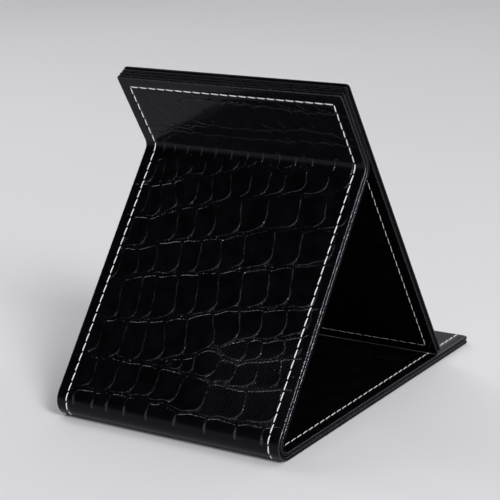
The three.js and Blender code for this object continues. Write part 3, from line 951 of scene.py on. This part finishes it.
def sew(name, path, stitches, thread_radius, material):
    """A piece holding the given stitches: twisted plies that dip into the leatherette at both ends."""
    share = np.linspace(-1, 1, THREAD_RINGS)
    turn = np.linspace(0, 2 * math.pi, THREAD_SIDES, endpoint=False)
    ring, around = np.meshgrid(share, turn, indexing="ij")
    taper = 1 - THREAD_TAPER * ring ** THREAD_TAPER_POWER
    twist = around - math.pi * THREAD_TWISTS * ring
    plies = taper * (1 + THREAD_PLY * np.cos(THREAD_PLIES * twist))
    run = ring * STITCH_LENGTH / 2
    radii = np.broadcast_to(thread_radius, len(stitches))
    points, faces, sheet = [], [], []
    for index, ((x, way, heading), thick) in enumerate(zip(stitches, radii)):
        radius = thick * plies
        beside = radius * np.cos(around)
        stand = thread_stand(path, way)
        dip = (thick + THREAD_STAND) * ring ** THREAD_DIP_POWER
        height = stand - dip + radius * np.sin(around)
        along = heading_vector(heading + STITCH_SLANT)
        at_x = x + run * along[0] - beside * along[1]
        at_way = way + run * along[1] + beside * along[0]
        points.append(path.place(at_x, at_way, -height).reshape(-1, 3))
        sheet.append(np.stack([run, around], -1).reshape(-1, 2))
        faces += tube_faces(THREAD_RINGS, THREAD_SIDES, index * THREAD_RINGS * THREAD_SIDES)
    piece = make_piece(name, np.concatenate(points), faces, material, np.concatenate(sheet))
    return piece


TOP_ROW = OUTER.marks[-1] - STITCH_INSET
TOP_STITCHES = stitch_line((STITCH_INSET - HALF_WIDTH, TOP_ROW), (HALF_WIDTH - STITCH_INSET, TOP_ROW))
OUTER_STITCHES = np.concatenate([side_rows(SEWING_START, TOP_ROW), TOP_STITCHES])
LINING_STITCHES = side_rows(SEWING_START, LINING.marks[3])
MIRROR_STITCHES = loop_rows(MIRROR_BACK.marks[-1])


# Materials

def new_material(name):
    """A material with its node tree and shader."""
    material = bpy.data.materials.new(name)
    material.use_nodes = True
    tree = material.node_tree
    return material, tree, tree.nodes["Principled BSDF"]


def fill(tree, node, inputs):
    """Sets a node's inputs to values, or links them to other nodes' outputs."""
    for key, value in inputs.items():
        if isinstance(value, bpy.types.NodeSocket):
            tree.links.new(value, node.inputs[key])
        else:
            node.inputs[key].default_value = value


def add_node(tree, kind, inputs=None, **settings):
    """A node with its settings, input values and links."""
    node = tree.nodes.new(kind)
    for key, value in settings.items():
        setattr(node, key, value)
    fill(tree, node, inputs or {})
    return node


def sheet_place(tree):
    """Places on the flat sheet."""
    return add_node(tree, "ShaderNodeUVMap", uv_map="sheet").outputs["UV"]


def own_place(tree):
    """Places in the object's own frame."""
    return add_node(tree, "ShaderNodeTexCoord").outputs["Object"]


def ramp(tree, value, stops):
    """A colour that follows a value through (place, colour) stops."""
    node = add_node(tree, "ShaderNodeValToRGB", {"Fac": value})
    elements = node.color_ramp.elements
    for index, (place, colour) in enumerate(stops):
        element = elements[index] if index < len(elements) else elements.new(place)
        element.position = place
        element.color = colour
    return node.outputs["Color"]


def colour_ramp(tree, value, dark, light, low=CLOUD_RANGE[0], high=CLOUD_RANGE[1]):
    """A colour that follows a value from dark to light."""
    return ramp(tree, value, ((low, dark), (high, light)))


def level_ramp(tree, value, levels):
    """A value that follows another through (place, level) stops."""
    return ramp(tree, value, [(place, (level, level, level, 1)) for place, level in levels])


def spread(tree, value, low, high):
    """A value from 0 to 1 mapped to a range."""
    inputs = {"Value": value, "To Min": low, "To Max": high}
    return add_node(tree, "ShaderNodeMapRange", inputs).outputs["Result"]


def ranged(tree, value, start, end):
    """0 where a value is before start and 1 after end, smooth between."""
    inputs = {"Value": value, "From Min": start, "From Max": end}
    return add_node(tree, "ShaderNodeMapRange", inputs, interpolation_type="SMOOTHSTEP").outputs["Result"]


def noise(tree, place, scale, detail):
    """Cloudy noise over a map."""
    inputs = {"Vector": place, "Scale": scale, "Detail": detail}
    return add_node(tree, "ShaderNodeTexNoise", inputs).outputs["Fac"]


def product(tree, first, second):
    """Two values multiplied."""
    return add_node(tree, "ShaderNodeMath", {0: first, 1: second}, operation="MULTIPLY").outputs["Value"]


def combined(tree, first, second, operation):
    """Two colours or vectors put together."""
    return add_node(tree, "ShaderNodeVectorMath", {0: first, 1: second}, operation=operation).outputs


def bump(tree, height, depth, strength=1.0, under=None):
    """The normals of a bumped surface, on top of another bump if there is one."""
    inputs = {"Height": height, "Strength": strength, "Distance": depth}
    if under is not None:
        inputs["Normal"] = under
    return add_node(tree, "ShaderNodeBump", inputs).outputs["Normal"]


def hatching(tree, sheet):
    """Slanted hatching on the scales at the leg's lower right, from 0 between its lines to 1 on them."""
    slanted = add_node(tree, "ShaderNodeMapping", {"Vector": sheet, "Rotation": (0, 0, HATCH_TURN)})
    wave = add_node(tree, "ShaderNodeTexWave", {
        "Vector": slanted.outputs["Vector"],
        "Scale": HATCH_SCALE,
        "Distortion": HATCH_WANDER,
        "Detail": HATCH_DETAIL,
        "Detail Scale": HATCH_DETAIL,
    })
    apart = add_node(tree, "ShaderNodeSeparateXYZ", {"Vector": sheet}).outputs
    across = ranged(tree, apart["X"], *HATCH_X)
    below = ranged(tree, apart["Y"], LEG_ZERO + HATCH_UP[0], LEG_ZERO + HATCH_UP[1])
    above = ranged(tree, apart["Y"], SPINE_END, SPINE_END + HATCH_FADE)
    where = product(tree, across, product(tree, below, above))
    return product(tree, ranged(tree, wave.outputs["Fac"], *HATCH_RIDGE), where)


def leatherette(name, rough, grain, shine, hatched):
    """Glossy coated leatherette: mottled black, a fine grain, beads where it is worked, and where hatched a
    painted grey sheen on the hatching's lines.
    """
    material, tree, shader = new_material(name)
    sheet = sheet_place(tree)
    mottle = noise(tree, sheet, *LEATHER_MOTTLE)
    worked = add_node(tree, "ShaderNodeAttribute", attribute_name="worked").outputs["Fac"]
    colour = colour_ramp(tree, mottle, LEATHER_BLACK, LEATHER_DARK_GREY)
    hatch_bump = None
    if hatched:
        hatch = hatching(tree, sheet)
        hatch_bump = bump(tree, hatch, HATCH_DEPTH)
        # The hatching's lines get a painted grey sheen added to the leatherette's colour
        painted_hatch_sheen = colour_ramp(tree, hatch, HATCH_NONE, HATCH_SHEEN_GREY, 0.0, 1.0)
        colour = combined(tree, colour, painted_hatch_sheen, "ADD")["Vector"]
    swell = spread(tree, noise(tree, sheet, *BEAD_NOISE), *BEAD_SWELL)
    beads = product(tree, swell, level_ramp(tree, worked, BEAD_SHARE))
    bead_bump = bump(tree, beads, BEAD_DEPTH, under=hatch_bump)
    # The plain gloss stands in where a linked one can't be carried over
    fill(tree, shader, {"Specular IOR Level": shine})
    fill(tree, shader, {
        "Base Color": colour,
        "Roughness": spread(tree, mottle, *rough),
        "Normal": bump(tree, noise(tree, sheet, *GRAIN_NOISE), GRAIN_DEPTH, grain, bead_bump),
        "Specular IOR Level": level_ramp(tree, worked, ((0.0, shine), *WORKED_SHINE)),
        "Specular Tint": LEATHER_GLOSS,
    })
    return material


def clouded(name, place, clouds, colours=None, shades=CLOUD_RANGE, rough=None, bumped=None, plain=None):
    """A material whose colour, roughness and surface follow cloudy noise, as far as they are given."""
    material, tree, shader = new_material(name)
    cloud = noise(tree, place(tree), *clouds)
    fill(tree, shader, plain or {})
    if colours:
        fill(tree, shader, {"Base Color": colour_ramp(tree, cloud, *colours, *shades)})
    if rough:
        fill(tree, shader, {"Roughness": spread(tree, cloud, *rough)})
    if bumped:
        fill(tree, shader, {"Normal": bump(tree, cloud, FIBRE_DEPTH, bumped)})
    return material


OUTER_LEATHER = leatherette("outer_leatherette", OUTER_ROUGH, OUTER_GRAIN, OUTER_SHINE, True)
LINING_LEATHER = leatherette("lining_leatherette", LINING_ROUGH, LINING_GRAIN, LINING_SHINE, False)
THREAD = clouded(
    "white_thread", sheet_place, FUZZ_NOISE, (THREAD_SHADE, THREAD_WHITE), FUZZ_RANGE,
    bumped=FUZZ_STRENGTH,
    plain={"Roughness": THREAD_ROUGH, "Sheen Weight": THREAD_SHEEN},
)
BOARD = clouded(
    "greyboard", own_place, BOARD_FIBRES, (BOARD_GREY, BOARD_PALE),
    rough=BOARD_ROUGH,
    bumped=FIBRE_STRENGTH,
)
TAPE = clouded(
    "tape", own_place, TAPE_FIBRES, (TAPE_DULL, TAPE_PALE),
    rough=TAPE_ROUGH,
    bumped=FIBRE_STRENGTH,
)
GLASS = clouded(
    "glass", own_place, GLASS_WIPES,
    rough=GLASS_ROUGH,
    plain={"Base Color": GLASS_CLEAR, "IOR": GLASS_IOR, "Transmission Weight": 1.0},
)
SILVER = clouded(
    "silvering", own_place, SILVER_CLOUDS, (SILVER_DULL, SILVER_BRIGHT),
    rough=SILVER_ROUGH,
    plain={"Metallic": 1.0},
)
FLOOR = clouded(
    "floor", own_place, FLOOR_CLOUDS, (FLOOR_COLOUR, FLOOR_LIGHT),
    plain={"Roughness": FLOOR_ROUGH, "Specular IOR Level": FLOOR_SHINE},
)


# The cover

def bend(piece, part, path):
    """Bakes a length of the cover, or its sewing, into its place; no joint bends it.

    The base's and the leg's lengths have half of the spine each.
    """
    if part == "upper":
        middle_way = (path.marks[3] + path.marks[4]) / 2
    else:
        middle_way = spine_middle(path)
    points, normals = path.at(np.array([middle_way]))
    if part == "base":
        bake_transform(piece)
    elif part == "leg":
        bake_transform(piece)
    else:
        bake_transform(piece)


def build_cover(side_name, path, stitches, sink, steps, material, replaced):
    """One face of the cover in three lengths, with their sewing."""
    middle = spine_middle(path)
    seam = path.marks[3] - SEAM_BELOW_CREASE
    lengths = (
        ("base", (0, middle), (True, False), steps[0]),
        ("leg", (middle, seam), (False, False), steps[1]),
        ("upper", (seam, path.marks[-1]), (False, True), steps[2]),
    )
    for part, span, free, step in lengths:
        name = f"{part}_{side_name}"
        gather = outer_gather if path is OUTER else None
        piece = leaf(f"{name}_leaf", path, span, free, LEAF, step, sink, material, gather)
        bend(piece, part, path)
        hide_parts(f"{name}_skin", *replaced["leaf"].get(part, ()))
        sewn = stitches[(stitches[:, 1] >= span[0]) & (stitches[:, 1] < span[1])]
        if len(sewn):
            thread_radius = THREAD_RADIUS if path is OUTER else LINING_THREAD_RADIUS
            thread = sew(f"{name}_stitches", path, sewn, thread_radius, THREAD)
            bend(thread, part, path)
            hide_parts(*replaced["stitches"][part])


def both_sides(name):
    """A thread's two CAD nodes."""
    return f"{name}_left", f"{name}_right"


OUTER_NODES = {
    "leaf": {"base": ("spine_outer_skin", "spine_filler"), "upper": ("crease_outer_skin", "crease_filler")},
    "stitches": {
        "base": both_sides("base_outer_thread") + both_sides("spine_thread"),
        "leg": both_sides("leg_outer_thread"),
        "upper": both_sides("crease_thread") + ("upper_thread",),
    },
}
LINING_NODES = {
    "leaf": {"base": ("spine_lining_skin",), "upper": ("crease_lining_skin",)},
    "stitches": {
        "base": both_sides("base_lining_thread"),
        "leg": both_sides("leg_lining_thread"),
    },
}
INSIDE_NODES = (
    (BOARD, ("base_outer_board", "base_lining_board", "leg_outer_board", "leg_lining_board")),
    (BOARD, ("upper_outer_board", "upper_lining_board", "mirror_back_board", "spacer_frame")),
    (TAPE, ("bonding_tape", "glass_tape")),
    (GLASS, ("mirror_glass",)),
    (SILVER, ("mirror_silvering",)),
)


# The mirror panel

def ring_outline(inset):
    """A rounded outline round the mirror panel, some way inside its edge, as (x, way) pairs."""
    radius = CORNER + (WINDOW_CORNER - CORNER) * inset / BEZEL_WIDTH
    half = HALF_WIDTH - inset - radius
    low = inset + radius
    high = MIRROR_FRONT.marks[-1] - inset - radius
    centres = ((half, low), (half, high), (-half, high), (-half, low))
    points = []
    for index, centre in enumerate(centres):
        turned = RIGHT_ANGLE_DEGREES * (index - 1)
        angles = np.radians(turned + np.linspace(0, RIGHT_ANGLE_DEGREES, CORNER_POINTS))
        points.append(np.array(centre) + radius * heading_vector(angles))
        following = np.array(centres[(index + 1) % len(centres)])
        start = points[-1][-1]
        end = start + following - np.array(centre)
        count = BEZEL_SIDE_COUNTS[index % 2]
        points.append(start + np.linspace(0, 1, count + 1)[1:-1, None] * (end - start))
    return np.concatenate(points)


def bezel_section():
    """The bezel's section as (inset, depth): a turned outer edge, the face, and a thin lip over the glass."""
    edge = turned_edge(EDGE_ANGLES)
    under = edge[edge < BEZEL_SKIN][::-1]
    face = np.arange(EDGE, BEZEL_WIDTH - BEZEL_SKIN, BEZEL_STEP)[1:]
    lip = np.radians(np.linspace(RIGHT_ANGLE_DEGREES, -RIGHT_ANGLE_DEGREES, LIP_POINTS))
    half_lip = BEZEL_SKIN / 2
    insets = np.concatenate([
        (BEZEL_SKIN,),
        under,
        edge[1:],
        face,
        BEZEL_WIDTH - half_lip + half_lip * np.cos(lip),
        (BEZEL_SKIN,),
    ])
    depths = np.concatenate([
        (MIRROR_FRONT_LEAF,),
        MIRROR_FRONT_LEAF - rounding(under, MIRROR_FRONT_LEAF),
        rounding(edge[1:], MIRROR_FRONT_LEAF),
        np.zeros(len(face)),
        half_lip - half_lip * np.sin(lip),
        (BEZEL_SKIN,),
    ])
    return insets, depths


def build_bezel():
    """The front frame round the glass."""
    insets, depths = bezel_section()
    outline = np.stack([ring_outline(inset) for inset in insets], 1)
    x, way = outline[..., 0], outline[..., 1]
    on_face = (depths < BEZEL_SKIN / 2) & (insets > RELIEF_FADE)
    depth = depths + np.where(on_face, np.minimum(mirror_sink(x, way), BEZEL_DEEPEST), 0)
    points = MIRROR_FRONT.place(x, way, depth)
    return make_piece("bezel_leaf", points, tube_faces(*x.shape, closed=True), LINING_LEATHER, outline)


def build_mirror_panel():
    """The mirror panel's back leaf and bezel, each with sewing all round."""
    whole = (0, MIRROR_BACK.marks[-1])
    back = leaf("mirror_back_leaf", MIRROR_BACK, whole, (True, True), MIRROR_BACK_LEAF, LINING_STEP,
                mirror_sink, LINING_LEATHER)
    bezel = build_bezel()
    for piece, skin in ((back, "mirror_back_skin"), (bezel, "bezel_skin")):
        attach(piece, "mirror")
        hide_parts(skin)
    at_foot = np.isclose(MIRROR_STITCHES[:, 1], STITCH_INSET)
    radii = np.where(at_foot, MIRROR_FOOT_THREAD_RADIUS, MIRROR_THREAD_RADIUS)
    for side, path in (("back", MIRROR_BACK), ("front", MIRROR_FRONT)):
        thread = sew(f"mirror_{side}_stitches", path, MIRROR_STITCHES, radii, THREAD)
        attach(thread, "mirror")
        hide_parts(f"mirror_{side}_thread")


def dress_inside():
    """Finishes for the CAD nodes inside the leaves and behind the glass."""
    for material, names in INSIDE_NODES:
        for name in names:
            slots = frame["nodes"][name].data.materials
            slots.clear()
            slots.append(material)


OUTER_STEPS = (PLAIN_STEP, FINE_STEP, UPPER_STEP)
LINING_STEPS = (LINING_STEP, LINING_STEP, LINING_STEP)
build_cover("outer", OUTER, OUTER_STITCHES, outer_sink, OUTER_STEPS, OUTER_LEATHER, OUTER_NODES)
build_cover("lining", LINING, LINING_STITCHES, lining_sink, LINING_STEPS, LINING_LEATHER, LINING_NODES)
build_mirror_panel()
dress_inside()


# Studio

def build_floor():
    """A wide pale floor."""
    mesh = bpy.data.meshes.new("floor")
    signs = ((-1, -1), (1, -1), (1, 1), (-1, 1))
    corners = [(x * FLOOR_HALF, y * FLOOR_HALF, 0) for x, y in signs]
    mesh.from_pydata(corners, [], [(0, 1, 2, 3)])
    mesh.materials.append(FLOOR)
    add_object("floor", mesh)


def add_lamp(name, place, size, power):
    """A soft square lamp that looks at the object."""
    data = bpy.data.lights.new(name, "AREA")
    data.size = size
    data.energy = power
    lamp = add_object(name, data)
    lamp.location = place
    lamp.rotation_euler = (Vector(LAMP_AIM) - Vector(place)).to_track_quat("-Z", "Y").to_euler()


def build_room():
    """Light from all round, with some darker parts."""
    world = bpy.data.worlds.new("room")
    world.use_nodes = True
    tree = world.node_tree
    direction = add_node(tree, "ShaderNodeTexCoord").outputs["Generated"]
    shades = []
    for towards, rim, core, outside, inside in ROOM_PARTS:
        nearness = combined(tree, direction, Vector(towards).normalized(), "DOT_PRODUCT")["Value"]
        shades.append(colour_ramp(tree, nearness, outside, inside, rim, core))
    room = shades[0]
    for shade in shades[1:]:
        room = combined(tree, room, shade, "MULTIPLY")["Vector"]
    fill(tree, tree.nodes["Background"], {"Color": room, "Strength": ROOM_STRENGTH})
    bpy.context.scene.world = world


def build_camera():
    """The photo's camera."""
    turn = (
        Matrix.Rotation(CAMERA_AZIMUTH, 4, "Z")
        @ Matrix.Rotation(math.pi / 2 - CAMERA_ELEVATION, 4, "X")
        @ Matrix.Rotation(CAMERA_ROLL, 4, "Z")
    )
    place = Vector(CAMERA_AIM) + turn @ Vector((0, 0, CAMERA_DISTANCE))
    data = bpy.data.cameras.new("camera")
    data.lens = CAMERA_LENS
    data.sensor_width = CAMERA_SENSOR
    data.clip_end = CAMERA_REACH
    camera = add_object("camera", data)
    camera.matrix_world = Matrix.Translation(place * MM) @ turn
    bpy.context.scene.camera = camera


build_floor()
build_room()
for lamp_values in LAMPS:
    add_lamp(*lamp_values)
build_camera()
bpy.context.scene.view_settings.view_transform = "Standard"
